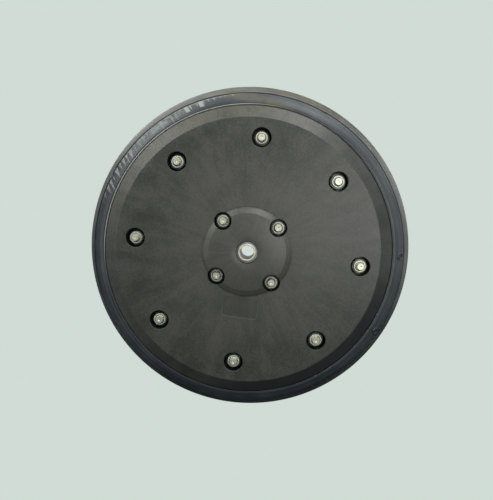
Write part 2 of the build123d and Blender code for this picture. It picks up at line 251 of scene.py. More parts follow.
def engrave(shader, heights, depths):
    """Let the light see heights laid over each other, each this many millimetres deep, or left out."""
    below = {}
    for height, depth in zip(heights, depths):
        if depth:
            inputs = {"Height": height, "Strength": 1.0, "Distance": mm(depth), **below}
            below = {"Normal": add_node("ShaderNodeBump", inputs).outputs[0]}
    drive(below["Normal"], shader, "Normal")

# %% [markdown]
# ## Moulded nylon
# The rim halves are glass-filled nylon straight from the mould: dark grey with a breath of green, and
# almost matt. Close up it isn't one colour. Fine specks come from the glass, soft clouds from uneven
# cooling, and faint streaks run outwards, the way the plastic flowed. A photograph wrapped round the
# disc would carry its own light and shade. Noise in three sizes looks alive from any side.

# %% Where the nylon changes, in millimetres and degrees
boss_reach = 52.8
boss_foot = -15.0
gate_reach = 140.0
band_start = 156.0
band_edge = 170.0
# The band is painted darker between these angles, at its lower right: a painted shade.
band_shade_angles = (-102.0, -14.0, 18.0)
band_dusty_angles = (72.0, 158.0, 20.0)
gap_raggedness = 1.2
pocket_reach = 153.0
pocket_depths = (-13.2, 5.0, 0.8)
# How strongly the pockets' walls are darkened: a painted shade down in the recesses.
pocket_shade_share = 0.75
panel_centre = 66.75
panel_half = (12.25, 20.75)
panel_corner = 3.5
# The panel's outline carries a painted highlight within these distances.
panel_line = (-0.5, 0.6, 0.4)
panel_angle = math.radians(-97.2)
print("the band is", band_edge - band_start, "mm wide, the panel", 2 * panel_half[1], "mm")

# %% [markdown]
# ## Tables instead of loose numbers
# Matching a photograph is mostly changing small numbers. They stand in tables, so each has a name and
# is quick to find: colours, grains (the scale, detail and roughness of a noise) and fades (start, end,
# and the values before and after).

# %% Tables for the nylon
nylon = {
    "plain": (0.07, 0.073, 0.063),
    "shade": (0.048, 0.053, 0.046),
    "light": (0.09, 0.092, 0.08),
    "glass": (0.17, 0.18, 0.16),
    # The flow colour also paints the boss paler, as painted light.
    "flow": (0.15, 0.15, 0.128),
    # The panel's line is a painted highlight.
    "panel highlight": (0.16, 0.17, 0.15),
    "panel": (0.03, 0.033, 0.03),
    # The band's darker colour is a painted shade, strongest at its lower right.
    "band": (0.03, 0.034, 0.036),
    "dust": (0.15, 0.15, 0.098),
    "gap": (0.006, 0.007, 0.008),
    # The pocket colour is a painted shade down in the pockets.
    "pocket_shade_colour": (0.012, 0.014, 0.017),
}
grains |= {
    "nylon clouds": (34.0, 3.0, 0.55),
    "grit": (430.0, 2.0, 0.8),
    "specks": (900.0, 2.0, 0.7),
    "glass": (1300.0, 1.0, 0.5),
    "streaks": (1.0, 5.0, 0.6),
    "gap": (190.0, 2.0, 0.6),
}
fades |= {
    "light": (0.38, 0.62),
    "glass": (0.7, 0.78, 0.0, 0.5),
    # The boss's painted light covers its face out to its edge.
    "boss edge": (boss_reach - 1.0, boss_reach + 1.0, 0.32, 0.0),
    "boss face": (boss_foot - 1.0, boss_foot + 0.5, 1.0, 0.0),
    "flow": (boss_reach + 4.0, gate_reach, 0.26, 0.0),
    "past the boss": (boss_reach, boss_reach + 2.0),
    "disc": (boss_foot - 0.5, boss_foot),
    # The panel's painted highlight grows towards its lower edge.
    "panel highlight": (-3.0, 6.0, 0.08, 0.3),
    "panel": (-1.2, -0.4, 0.22, 0.0),
    "band": (band_start, band_start + 2.0),
    # The band's painted shade: a little all round, strong at the lower right.
    "band_shade": (0.0, 1.0, 0.22, 0.8),
    "band dust": (0.4, 0.58, 0.1, 0.34),
    "gap": (band_edge + 0.3, band_edge + 0.9, 0.0, 0.85),
    "pockets": (pocket_reach, pocket_reach + 1.0, 1.0, 0.0),
    "nylon gloss": (0.3, 0.7, 0.33, 0.41),
}
nylon_weights = (0.3, 0.3, 0.4)
nylon_depths = (0.05, 0.06, 0.25)
nylon_gloss = {"roughness": 0.38, "specular": 0.45}
streaks_round = 0.17
streaks_out = 0.02
print("colours of the nylon:", len(nylon))

# %% [markdown]
# ## The parts of the nylon's finish
# The body comes first, and the marks are laid over it from the hub outwards. The blank panel's outline
# is a distance, as for a rounded rectangle in a drawing, so its line is even in width all round. That
# line is a painted highlight, brightest along the panel's lower edge.

# %% The body of the nylon
def nylon_body(place, radius, angle, clouds, grit):
    """Clouds, streaks, grit and glass. Returns the colour, and how light it is."""
    flow = vector_of(times(angle, streaks_round), times(radius, streaks_out), 0.0)
    light = weigh(*zip((clouds, grain(flow, "streaks"), grit), nylon_weights))
    colour = tint(soft(light, "light"), nylon["shade"], nylon["light"])
    return tint(soft(grain(place, "glass"), "glass"), colour, nylon["glass"]), light


# %% The boss and the blank panel
def panel_distance(place):
    """How far a point lies outside the panel's rounded outline, and how far below its middle."""
    sine = math.sin(panel_angle)
    cosine = math.cos(panel_angle)
    down = sums("SUBTRACT", along_line(place, cosine, sine), panel_centre)
    squared = []
    for value, half in zip((down, along_line(place, sine, -cosine)), panel_half):
        past = sums("SUBTRACT", sums("ABSOLUTE", value), half - panel_corner)
        past = strongest(past, 0.0)
        squared.append(times(past, past))
    corner = sums("SQRT", sums("ADD", *squared))
    return sums("SUBTRACT", corner, panel_corner), down


def nylon_hub(place, radius, along, colour):
    """Painted light on the boss, the flow round it, and the blank panel below it with a painted
    highlight.
    """
    # Painted light: the boss face is painted paler all over, for the light a slightly domed face catches.
    boss_light = times(soft(radius, "boss edge"), soft(along, "boss face"))
    flow = times(soft(radius, "flow"), soft(radius, "past the boss"))
    outline, below = panel_distance(place)
    on_disc = soft(along, "disc")
    # Painted highlight on the panel's outline, brightest along its lower edge.
    line = times(between(outline, *panel_line), soft(below, "panel highlight"), on_disc)
    colour = tint(boss_light, colour, nylon["flow"])
    colour = tint(flow, colour, nylon["flow"])
    colour = tint(line, colour, nylon["panel highlight"])
    return tint(times(soft(outline, "panel"), on_disc), colour, nylon["panel"])


# %% The band, the gap at the tyre and the pockets
def nylon_edge(place, radius, angle, along, light, colour):
    """Dust on top of the band, painted shade at its lower right and in the pockets, and the dark gap."""
    on_band = soft(radius, "band")
    # Painted shade on the band, a little all round and strong at the lower right.
    band_shade = times(on_band, soft(between(angle, *band_shade_angles), "band_shade"))
    dusty = times(between(angle, *band_dusty_angles), soft(light, "band dust"), on_band)
    gap = sums("MULTIPLY_ADD", grain(place, "gap"), gap_raggedness, radius)
    # Painted shade on the pockets' walls, down in the recesses.
    pocket_shade = times(between(along, *pocket_depths), soft(radius, "pockets"), pocket_shade_share)
    colour = tint(band_shade, colour, nylon["band"])
    colour = tint(dusty, colour, nylon["dust"])
    colour = tint(soft(gap, "gap"), colour, nylon["gap"])
    return tint(pocket_shade, colour, nylon["pocket_shade_colour"])


# %% The finish of the rim halves
def make_rim_nylon():
    finish, shader = new_finish("rim_nylon", nylon["plain"], **nylon_gloss)
    place = object_place(finish)
    radius, angle, along = polar_place(place)
    clouds, grit, specks = [grain(place, name) for name in ("nylon clouds", "grit", "specks")]
    colour, light = nylon_body(place, radius, angle, clouds, grit)
    colour = nylon_hub(place, radius, along, colour)
    colour = nylon_edge(place, radius, angle, along, light, colour)
    drive(colour, shader, "Base Color")
    drive(soft(clouds, "nylon gloss"), shader, "Roughness")
    engrave(shader, (specks, grit, clouds), nylon_depths)
    return finish


rim_nylon = make_rim_nylon()
for name in ("outer_rim_half", "inner_rim_half"):
    nodes[name].material_slots[0].material = rim_nylon
print("finish:", rim_nylon.name, "with", len(rim_nylon.node_tree.nodes), "nodes")

# %% [markdown]
# ## Rubber that has seen work
# The tyre is blue-black where it is clean and glossy. Its tread is greyed by dust, and an olive film
# lies on the top of the sidewall. Pale scuffs cross the upper left. They all lean one way, because the
# wheel rubbed along something straight: short teeth near the top with two broad bars among them, then a
# blotched patch, then longer strokes. At the lower right tan soil sits in the joint. Each of these is a
# mask over the clean rubber.

# %% Where the marks lie on the tyre, in degrees and millimetres
sidewall_span = (171.5, 186.6)
# The crease is painted dark between these radii, a painted shade, darker on the left.
crease_line = (185.4, 187.1, 0.3)
# The lip carries a painted highlight, pale all round and brightest on the upper left.
lip_width = (sidewall_span[0] - 0.2, sidewall_span[0] + 1.1, 0.25)
lip_highlight_angles = (84.0, 180.0, 10.0)
crease_dark_angles = (138.0, 258.0, 6.0)
notch_angles = (151.0, 211.0)
notch_half_width = 1.0
notch_softness = 0.6
notch_depth = 2.3
scuff_direction = (0.55, -0.83)
scuff_pitch = 6.8
scuff_wander = (0.045, 1.6)
scuff_reach = (0.8, 0.5)
tick_angles = (94.0, 119.0, 3.0)
tick_width = 0.34
stroke_angles = (117.0, 158.0, 5.0)
stroke_width = 0.36
stroke_length = 12.0
patch_angles = (116.0, 138.0, 5.0)
strip_angles = (95.0, 142.0, 5.0)
strip_depth = (0.1, 1.8, 0.5)
bar_angles = (92.0, 120.0, 2.0)
bar_places = (49.9, 32.8)
bar_half_width = 2.4
bar_softness = 0.7
# The sidewall is painted paler on its right side between these angles: a painted sheen.
side_sheen_angles = (-38.0, 40.0, 16.0)
dusty_angles = (-25.0, 125.0, 30.0)
film_angles = (66.0, 100.0, 5.0)
film_slant = (-144.0, -130.0, 4.0)
film_lean = -1.25
shoulder_angles = (50.0, 84.0, 8.0)
smudge_angles = (59.8, 62.2, 0.8)
smudge_radii = (184.0, 186.5, 0.7)
soil_angles = (-80.0, -14.0, 8.0)
soil_joint = (171.0, 172.6, 0.4)
soil_shoulder = (184.5, 187.0, 0.6)
print("scuffs from", tick_angles[0], "to", stroke_angles[1], "degrees")

# %% Tables for the rubber
rubber = {
    "plain": (0.045, 0.05, 0.06),
    "shade": (0.027, 0.035, 0.045),
    "light": (0.072, 0.087, 0.094),
    # The sheen colour paints the right side of the sidewall paler: a painted sheen.
    "side_sheen": (0.088, 0.102, 0.106),
    "dust": (0.236, 0.238, 0.216),
    "film": (0.13, 0.122, 0.08),
    "scuff": (0.34, 0.38, 0.345),
    # The lip colours are a painted highlight along the lip.
    "lip": (0.11, 0.11, 0.095),
    "lip highlight": (0.46, 0.47, 0.42),
    "soil": (0.22, 0.17, 0.1),
    # The groove colour paints the dark joint at the rim, the smudge, and painted shade in the crease.
    "groove": (0.006, 0.006, 0.01),
}
grains |= {
    "rubber clouds": (28.0, 3.0, 0.6),
    "fine": (420.0, 3.0, 0.65),
    "hoops": (0.55, 3.0, 0.6),
    "film": (60.0, 2.0),
    "crumbs": (260.0, 2.0, 0.6),
    "wear_and_lip_highlight": (150.0, 3.0, 0.6),
    "blotches": (62.0, 3.0, 0.65),
    "wander": (1.0, 2.0),
}
fades |= {
    "front": (tyre_middle - 5.0, tyre_middle + 5.0, 1.0, 0.0),
    "tread": (sidewall_span[1], sidewall_span[1] + 0.9),
    "life": (0.34, 0.66),
    # The painted sheen follows the rubber's clouds.
    "side_sheen": (0.3, 0.6, 0.3, 0.7),
    "dust": (0.38, 0.62, 0.4, 1.0),
    "film": (0.36, 0.56, 0.35, 1.0),
    "crumbs": (0.56, 0.66),
    "wear_and_lip_highlight": (0.3, 0.6, 0.35, 1.0),
    "blotches": (0.4, 0.62, 0.12, 0.75),
    "blotch depth": (5.0, 10.0, 1.0, 0.12),
    "tick length": (tick_angles[0], tick_angles[0] + 16.0, 3.2, 6.5),
    "tooth edge": (-0.04, 0.08),
    "bar depth": (7.2, 8.6, 1.0, 0.0),
    "crease edge": (0.0, 0.5),
    "lip gap": (sidewall_span[0] - 0.1, sidewall_span[0] + 0.15, 0.9, 0.0),
    "rubber gloss": (0.3, 0.7, 0.3, 0.42),
}
shares = {
    "film": 0.8,
    "shoulder film": 0.7,
    "scuffs": 0.95,
    "ticks": 0.75,
    "strokes": 0.8,
    "strip": 0.42,
    # How strong the lip's painted highlight is, all round and on the upper left.
    "lip": 0.25,
    "lip highlight": 0.8,
    "smudge": 0.8,
    "worn roughness": 0.32,
}
rubber_depths = (0.05, 0.1, 0.12)
rubber_gloss = {"roughness": 0.42, "specular": 0.45}
# How dark the crease's painted shade is, on the left and elsewhere.
crease_shade_levels = (0.65, 0.35)
dusty_half = (0.5, 0.5)
life_weights = (0.4, 0.6)
dust_weights = (0.5, 0.3, 0.2)
hoop_stretch = (0.02, 0.6)
full_turn = 360.0
print("colours of the rubber:", len(rubber))

# %% [markdown]
# ## The scuffs
# One row of teeth serves for the ticks and for the strokes. Lines across the wheel are counted, each
# count gets a length by chance, and a tooth narrows along it to nothing. White noise gives the same
# chance on every run.

# %% Teeth, bars and the patch
def teeth(across, depth, length, width):
    """Scuffs side by side: each starts wide at the crease and runs to a point, in millimetres."""
    wander = grain(vector_of(times(across, scuff_wander[0]), 0.0, 0.0), "wander")
    count = sums("MULTIPLY_ADD", wander, scuff_wander[1], sums("DIVIDE", across, scuff_pitch))
    number = {"W": sums("FLOOR", count)}
    chance = add_node("ShaderNodeTexWhiteNoise", number, noise_dimensions="1D").outputs["Value"]
    reach = times(length, sums("MULTIPLY_ADD", chance, *scuff_reach))
    left = times(sums("SUBTRACT", 1.0, sums("DIVIDE", depth, reach)), width)
    aside = sums("ABSOLUTE", sums("SUBTRACT", sums("FRACT", count), 0.5))
    return soft(sums("SUBTRACT", left, aside), "tooth edge")


def rubbed_marks(at):
    """All the pale scuffs as one mask."""
    across = along_line(at.place, -scuff_direction[1], scuff_direction[0])
    depth = sums("SUBTRACT", crease_line[0], at.radius)
    ticks = teeth(across, depth, soft(at.angle, "tick length"), tick_width)
    strokes = teeth(across, depth, stroke_length, stroke_width)
    patch = soft(grain(at.place, "blotches"), "blotches")
    marks = strongest(
        times(ticks, between(at.angle, *tick_angles), shares["ticks"]),
        times(strokes, between(at.angle, *stroke_angles), shares["strokes"]),
        times(patch, between(at.angle, *patch_angles), soft(depth, "blotch depth")),
        times(between(depth, *strip_depth), between(at.angle, *strip_angles), shares["strip"]),
    )
    marks = times(marks, soft(grain(at.place, "wear_and_lip_highlight"), "wear_and_lip_highlight"))
    for bar_place in bar_places:
        sides = (bar_place - bar_half_width, bar_place + bar_half_width)
        bar = times(between(across, *sides, bar_softness), soft(depth, "bar depth"))
        marks = strongest(marks, times(bar, between(at.angle, *bar_angles)))
    return times(marks, soft(depth, "crease edge"), at.on_front)

# %% [markdown]
# ## The layers of the rubber
# What every layer needs is read once. Then the layers go on in order: clean rubber, a painted sheen
# on the right side and dust, the film, the scuffs, the lip's painted highlight, the soil, and last the
# dark lines of the crease, which is painted shade, and of the joint.

# %% What every layer reads
def read_tyre(finish):
    """Where a point is on the tyre, and the grains that its layers share."""
    at = SimpleNamespace(place=object_place(finish))
    at.radius, at.angle, at.along = polar_place(at.place)
    at.full_angle = sums("MODULO", sums("ADD", at.angle, full_turn), full_turn)
    at.on_front = soft(at.along, "front")
    notched = 0.0
    for centre in notch_angles:
        sides = (centre - notch_half_width, centre + notch_half_width)
        notch = between(at.full_angle, *sides, notch_softness)
        notched = strongest(notched, times(notch, at.on_front))
    at.edge_radius = sums("MULTIPLY_ADD", notched, notch_depth, at.radius)
    at.on_tread = soft(at.edge_radius, "tread")
    at.clouds = grain(at.place, "rubber clouds")
    at.fine = grain(at.place, "fine")
    turns = times(at.angle, hoop_stretch[0])
    width = times(at.along, hoop_stretch[1])
    at.hoops = grain(vector_of(turns, at.radius, width), "hoops")
    return at


# %% Clean rubber, painted sheen, dust and film
def dusty_rubber(at):
    """The rubber with a painted sheen on its right side, and its dust. Returns the colour and the dust
    mask.
    """
    life = weigh(*zip((at.clouds, at.hoops), life_weights))
    colour = tint(soft(life, "life"), rubber["shade"], rubber["light"])
    # Painted sheen: the right side of the sidewall is painted paler.
    side_sheen = times(between(at.angle, *side_sheen_angles), soft(life, "side_sheen"))
    colour = tint(side_sheen, colour, rubber["side_sheen"])
    dust = weigh(*zip((at.clouds, at.hoops, at.fine), dust_weights))
    top = sums("MULTIPLY_ADD", between(at.angle, *dusty_angles), *dusty_half)
    dust = times(at.on_tread, soft(dust, "dust"), top)
    return tint(dust, colour, rubber["dust"]), dust


def olive_film(at, colour):
    """The film across the top of the sidewall and along the shoulder."""
    slant = sums("MULTIPLY_ADD", at.radius, film_lean, at.angle)
    wall = times(between(slant, *film_slant), between(at.angle, *film_angles))
    shoulder = times(between(at.angle, *shoulder_angles), at.on_tread, shares["shoulder film"])
    patchy = soft(grain(at.place, "film"), "film")
    film = times(strongest(wall, shoulder), patchy, at.on_front)
    return tint(times(film, shares["film"]), colour, rubber["film"]), film


# %% The lip's painted highlight, the soil and the dark lines
def lip_line(at, colour):
    """The lip is painted pale all round and nearly white on the upper left: a painted highlight."""
    lip = between(at.radius, *lip_width)
    # Painted highlight on the lip, brightest on the upper left where the light falls.
    wear_and_lip_highlight = times(lip, between(at.full_angle, *lip_highlight_angles), at.on_front)
    colour = tint(times(lip, shares["lip"]), colour, rubber["lip"])
    return tint(times(wear_and_lip_highlight, shares["lip highlight"]), colour, rubber["lip highlight"])


def tan_soil(at, colour):
    """Crumbs of soil in the joint and on the shoulder, at the lower right."""
    crumbs = soft(grain(at.place, "crumbs"), "crumbs")
    places = sums("ADD", between(at.radius, *soil_joint), between(at.radius, *soil_shoulder))
    soil = times(between(at.angle, *soil_angles), crumbs, places)
    return tint(soil, colour, rubber["soil"]), soil


def dark_lines(at, colour):
    """Painted shade in the crease, darker on the left, one smudge on it, and the gap at the rim."""
    # Painted shade in the crease, darker on the left.
    crease_shade = sums("MULTIPLY_ADD", between(at.full_angle, *crease_dark_angles), *crease_shade_levels)
    crease = times(between(at.edge_radius, *crease_line), crease_shade)
    smudge = times(between(at.angle, *smudge_angles), between(at.radius, *smudge_radii))
    smudge = times(smudge, at.on_front, shares["smudge"])
    return tint(strongest(crease, smudge, soft(at.radius, "lip gap")), colour, rubber["groove"])


# %% The finish of the tyre
def make_tyre_rubber():
    finish, shader = new_finish("tyre_rubber", rubber["plain"], **rubber_gloss)
    at = read_tyre(finish)
    colour, dust = dusty_rubber(at)
    colour, film = olive_film(at, colour)
    marks = rubbed_marks(at)
    colour = tint(times(marks, shares["scuffs"]), colour, rubber["scuff"])
    colour, soil = tan_soil(at, lip_line(at, colour))
    drive(dark_lines(at, colour), shader, "Base Color")
    worn = times(strongest(dust, marks, film, soil), shares["worn roughness"])
    drive(sums("ADD", soft(at.fine, "rubber gloss"), worn), shader, "Roughness")
    engrave(shader, (at.fine, at.hoops, sums("SUBTRACT", soil, marks)), rubber_depths)
    return finish


tyre_rubber = make_tyre_rubber()
print("finish:", tyre_rubber.name, "with", len(tyre_rubber.node_tree.nodes), "nodes")

# %% [markdown]
# ## Metals and the small parts
# Zinc plate with a yellow passivate is pale, slightly green and never even, because the bath leaves
# clouds. The rolled collars are painted pale, a painted highlight, and the hexagons and washers down in
# the pockets are painted nearly black, a painted shade. The sleeve is warmer outside, and its bore is
# painted near black, a painted shade. One recipe serves them all: two colours clouded together, a range
# of roughness, and rings left by a grinding wheel or a lathe. A dark studio leaves a pure metal nothing
# to reflect, so most are part metal and part paint.

# %% One recipe for every metal
grains |= {
    "metal clouds": (120.0, 2.0, 0.5),
    "metal grain": (2600.0, 2.0, 0.6),
    "metal rings": (7.0, 2.0),
}
metal_clouds = (0.3, 0.7)
metal_grain_depth = 0.0006


def make_metal(name, first, second, roughness, ring_depth, metallic):
    """The colours of the clouds, their roughness, the depth of the rings in millimetres, the metal."""
    finish, shader = new_finish(name, first, roughness[0], metallic)
    place = object_place(finish)
    radius, angle, along = polar_place(place)
    clouds = grain(place, "metal clouds")
    drive(tint(fade(clouds, *metal_clouds), first, second), shader, "Base Color")
    drive(fade(clouds, *metal_clouds, *roughness), shader, "Roughness")
    rings = grain(vector_of(radius, along, 0.0), "metal rings")
    engrave(shader, (grain(place, "metal grain"), rings), (metal_grain_depth, ring_depth))
    return finish


# %% Every metal, and what is like one
recipes = {
    "fastener_zinc": ((0.8, 0.8, 0.6), (0.9, 0.9, 0.7), (0.36, 0.44), 0.0, 0.65),
    # The collars are painted pale: a painted highlight.
    "rolled_zinc": ((0.8, 0.82, 0.78), (0.9, 0.92, 0.88), (0.42, 0.5), 0.0, 0.45),
    # The hexagons and washers are painted nearly black: a painted shade down in the pockets.
    "nut_zinc": ((0.1, 0.12, 0.08), (0.17, 0.19, 0.11), (0.34, 0.42), 0.0, 0.8),
    "washer_zinc": ((0.07, 0.08, 0.06), (0.12, 0.13, 0.08), (0.36, 0.44), 0.0, 0.8),
    "sleeve_zinc": ((0.84, 0.75, 0.56), (0.92, 0.83, 0.64), (0.3, 0.42), 0.004, 0.4),
    # The bore is painted near black: a painted shade down the tube.
    "bore_steel": ((0.045, 0.04, 0.054), (0.06, 0.054, 0.07), (0.5, 0.6), 0.004, 0.0),
    "bearing_steel": ((0.44, 0.51, 0.52), (0.52, 0.59, 0.6), (0.28, 0.34), 0.0, 0.8),
    "ball_steel": ((0.62, 0.63, 0.65), (0.7, 0.71, 0.73), (0.06, 0.12), 0.0, 1.0),
    "cage_brass": ((0.6, 0.42, 0.17), (0.7, 0.52, 0.24), (0.3, 0.42), 0.004, 1.0),
    "seal_rubber": ((0.012, 0.013, 0.015), (0.022, 0.023, 0.026), (0.5, 0.62), 0.02, 0.0),
    "lock_nylon": ((0.03, 0.035, 0.035), (0.045, 0.05, 0.05), (0.3, 0.4), 0.01, 0.0),
}
finishes = {name: make_metal(name, *recipe) for name, recipe in recipes.items()}
for row in frame["record"]["subparts"]:
    if row["material_slot"] in finishes:
        nodes[row["node"]].material_slots[0].material = finishes[row["material_slot"]]
print("finishes for small parts:", sorted(finishes))

# %% [markdown]
# ## Turning round pieces as on a lathe
# The tyre, the washers and the sleeve are all round, so one helper makes them. It starts from a circle
# at the first point of the section, and extrudes and scales that ring from point to point until it is
# back where it began. Spinning a drawn section does the same. Extruding keeps the rings in order, so
# one of them is easy to shift later.

# %% Choosing and settling a piece
def choose(*pieces):
    """Select just these pieces. The last one is active."""
    bpy.ops.object.select_all(action="DESELECT")
    for piece in pieces:
        piece.select_set(True)
    bpy.context.view_layer.objects.active = pieces[-1]


def settle(piece):
    """Write a piece's place and turn into its mesh."""
    choose(piece)
    bpy.ops.object.transform_apply(location=True, rotation=True, scale=True)


def open_mesh():
    """Enter edit mode."""
    bpy.ops.object.mode_set(mode="EDIT")


def close_mesh():
    """Make all faces look outwards, and leave edit mode."""
    bpy.ops.mesh.select_all(action="SELECT")
    bpy.ops.mesh.normals_make_consistent(inside=False)
    bpy.ops.object.mode_set(mode="OBJECT")


# %% The lathe helper
WELD = mm(0.002)
QUARTER = math.radians(90)


def turn_ring(name, section, steps):
    """Turn a closed section round Y. The section lists (radius, place) in millimetres."""
    radius, place = section[0]
    bpy.ops.mesh.primitive_circle_add(
        vertices=steps, radius=mm(radius), location=(0, mm(place), 0), rotation=(QUARTER, 0, 0)
    )
    piece = bpy.context.object
    piece.name = piece.data.name = name
    settle(piece)
    open_mesh()
    bpy.ops.mesh.select_all(action="SELECT")
    for next_radius, next_place in section[1:] + section[:1]:
        bpy.ops.mesh.extrude_region_move(TRANSFORM_OT_translate={"value": (0, mm(next_place - place), 0)})
        share = next_radius / radius
        bpy.ops.transform.resize(value=(share, 1, share), center_override=(0, mm(next_place), 0))
        radius, place = next_radius, next_place
    bpy.ops.mesh.select_all(action="SELECT")
    bpy.ops.mesh.remove_doubles(threshold=WELD)
    close_mesh()
    return piece


# %% Shading and arcs
def smooth_by_angle(piece, degrees):
    """Shade smoothly, apart from edges sharper than this."""
    choose(piece)
    bpy.ops.object.shade_smooth_by_angle(angle=math.radians(degrees))


def arc_through(first, middle, last, count):
    """Points on the circle through three points, from the first to the last, both included."""
    (ax, ay), (bx, by), (cx, cy) = first, middle, last
    cross = 2 * (ax * (by - cy) + bx * (cy - ay) + cx * (ay - by))
    a2, b2, c2 = ax**2 + ay**2, bx**2 + by**2, cx**2 + cy**2
    ox = (a2 * (by - cy) + b2 * (cy - ay) + c2 * (ay - by)) / cross
    oy = (a2 * (cx - bx) + b2 * (ax - cx) + c2 * (bx - ax)) / cross
    start = math.atan2(ay - oy, ax - ox)
    turn = math.remainder(math.atan2(cy - oy, cx - ox) - start, math.tau)
    reach = math.hypot(ax - ox, ay - oy)
    angles = [start + turn * step / (count - 1) for step in range(count)]
    return [(ox + reach * math.cos(angle), oy + reach * math.sin(angle)) for angle in angles]

# %% [markdown]
# ## The tyre
# The tyre is one hollow moulding: a crowned tread, two short sidewalls, and a flat base that the rims
# clamp. Its small features sell it. A lip rolls up against the rim, a crease runs round the shoulder
# where the mould halves met, and a fine flash line crosses the crown. All of them are points of one
# section.

# %% The tyre's section
crown_height = 16.6
sidewall_height = 15.4
shoulder_inset = 7.0
sidewall_bulge = 1.3
rim_lip = 5.0
seat_depth = 13.2
seat_fit = 0.1
edge_gap = 0.3
crease_width = 0.9
crease_depth = 0.55
crease_edge = 0.62
crease_floor = 0.3
flash_height = 0.25
flash_width = 0.8
lip_profile = ((0.0, -0.9), (0.15, -0.25), (0.5, 0.0), (1.0, -0.1), (1.5, -0.6))
lip_end = 2.0
wall_points = 17
crown_points = 61
TYRE_STEPS = 288
RUBBER_EDGE = 50

shoulder_radius = tyre_radius - crown_height
lip_radius = shoulder_radius - sidewall_height + edge_gap
base_radius = shoulder_radius - sidewall_height - seat_depth + seat_fit
half_width = tyre_middle - front_edge
tread_half = half_width - shoulder_inset
wall_middle = ((lip_radius + shoulder_radius) / 2, half_width - shoulder_inset / 2 + sidewall_bulge)

sidewall = arc_through((lip_radius, half_width), wall_middle, (shoulder_radius, tread_half), wall_points)
crown_top = (tyre_radius - flash_height, 0.0)
crown_ends = [(shoulder_radius, side * tread_half) for side in (1, -1)]
crown = arc_through(crown_ends[0], crown_top, crown_ends[1], crown_points)
print("the tread is", round(2 * tread_half, 1), "mm wide")

# %% [markdown]
# The points of one side are listed from the base outwards, and the other side is the same list turned
# round. So both sides stay alike, and the crown and the flash line join them.

# %% One side, then all the way round
def one_side(points):
    """The lip, the wall and the crease of one side, from the base out, with places from the middle."""
    lip_inside = half_width - rim_lip - seat_fit
    side = [(base_radius, lip_inside), (lip_radius, lip_inside)]
    side += [(lip_radius + outwards, half_width + along) for outwards, along in lip_profile]
    side += [point for point in points[1:-1] if point[0] > lip_radius + lip_end]
    side += [(shoulder_radius - crease_width, tread_half + crease_edge)]
    side += [(shoulder_radius - crease_width / 2, tread_half + crease_floor - crease_depth)]
    return side


front_side = one_side(sidewall)
tread = [point for point in crown if abs(point[1]) > flash_width]
ahead = [point for point in tread if point[1] > 0]
behind = [point for point in tread if point[1] < 0]
flash = [(tyre_radius - flash_height, flash_width / 2), (tyre_radius, 0.0)]
flash += [(tyre_radius - flash_height, -flash_width / 2)]
rear_side = [(radius, -place) for radius, place in reversed(front_side)]
section = front_side + ahead + flash + behind + rear_side
tyre_section = [(radius, tyre_middle - place) for radius, place in section]
print("points in the tyre's section:", len(tyre_section))

# %% Turn the tyre
tyre = turn_ring("moulded_tyre", tyre_section, TYRE_STEPS)
print("tyre:", len(tyre.data.vertices), "vertices")

# %% [markdown]
# Two short notches break the crease on the left, where flash was trimmed off. The finish of the rubber
# already knows where they are, so the same angles move the points.

# %% Notch the crease twice on the left
crease_reach = 0.35


def notch_shift(vertex):
    """How far in this vertex goes, in millimetres: only in the front crease, and only at a notch."""
    radius = math.hypot(vertex.co.x, vertex.co.z) * METRE
    angle = math.degrees(math.atan2(vertex.co.z, vertex.co.x)) % full_turn
    in_crease = abs(radius - (shoulder_radius - crease_width / 2)) < crease_width / 2 + crease_reach
    in_front = vertex.co.y * METRE < front_edge + shoulder_inset + crease_depth
    at_notch = min(abs(angle - notch) for notch in notch_angles) < notch_half_width
    return notch_depth if in_crease and in_front and at_notch else 0.0


moved = 0
for vertex in tyre.data.vertices:
    shift = notch_shift(vertex)
    if shift:
        moved += 1
        radius = math.hypot(vertex.co.x, vertex.co.z) * METRE
        vertex.co.x *= (radius - shift) / radius
        vertex.co.z *= (radius - shift) / radius
smooth_by_angle(tyre, RUBBER_EDGE)
print("points moved for the notches:", moved)

# %% [markdown]
# ## Two moulded vents
# Two round marks stand on the sidewall at the lower right, a twelfth of a turn apart. Each is a low
# ring with a nib in it, where the mould let the air out. They are turned on the same lathe, tipped to
# lie on the sloping wall, and joined to the tyre.

# %% Turn, tip and join the vents
vent_angles = (-1.7, -31.7)
vent_circle = 181.1
vent_tilt = 4.0
vent_sink = 1.95
vent_slope = math.degrees(math.atan2(shoulder_inset, sidewall_height)) + vent_tilt
vent_front = front_edge + vent_sink
vent_ring = [(2.9, 0.5), (3.15, -0.28), (3.5, -0.5), (3.85, -0.28), (4.1, 0.5)]
vent_nib = [(0.05, 0.5), (0.05, -0.75), (0.4, -0.65), (0.62, -0.35), (0.75, 0.5)]
RING_STEPS = 40
NIB_STEPS = 20


def place_vent(angle):
    """One vent at this angle round the sidewall."""
    parts = [turn_ring("vent_ring", vent_ring, RING_STEPS), turn_ring("vent_nib", vent_nib, NIB_STEPS)]
    for part in parts:
        part.rotation_euler = (0, 0, math.radians(vent_slope))
        part.location = mm(vent_circle, vent_front, 0)
        settle(part)
        part.rotation_euler = (0, -math.radians(angle), 0)
        settle(part)
        smooth_by_angle(part, RUBBER_EDGE)
    return parts


vents = [part for angle in vent_angles for part in place_vent(angle)]
choose(*vents, tyre)
bpy.ops.object.join()
tyre.data.materials.append(tyre_rubber)
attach(tyre, "wheel")
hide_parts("tyre")
print("tyre with its vents:", len(tyre.data.polygons), "faces")

# %% [markdown]
# ## One hexagon for bolts and nuts
# A bolt head and a nut begin as the same slice of hexagon bar. A lathe takes its corners off at thirty
# degrees, which leaves the curved shoulders that every real hexagon has. A plain bevel would miss those
# curves. So the hexagon is intersected with a turned blank, which also leaves a perfectly round flat to
# extrude from.

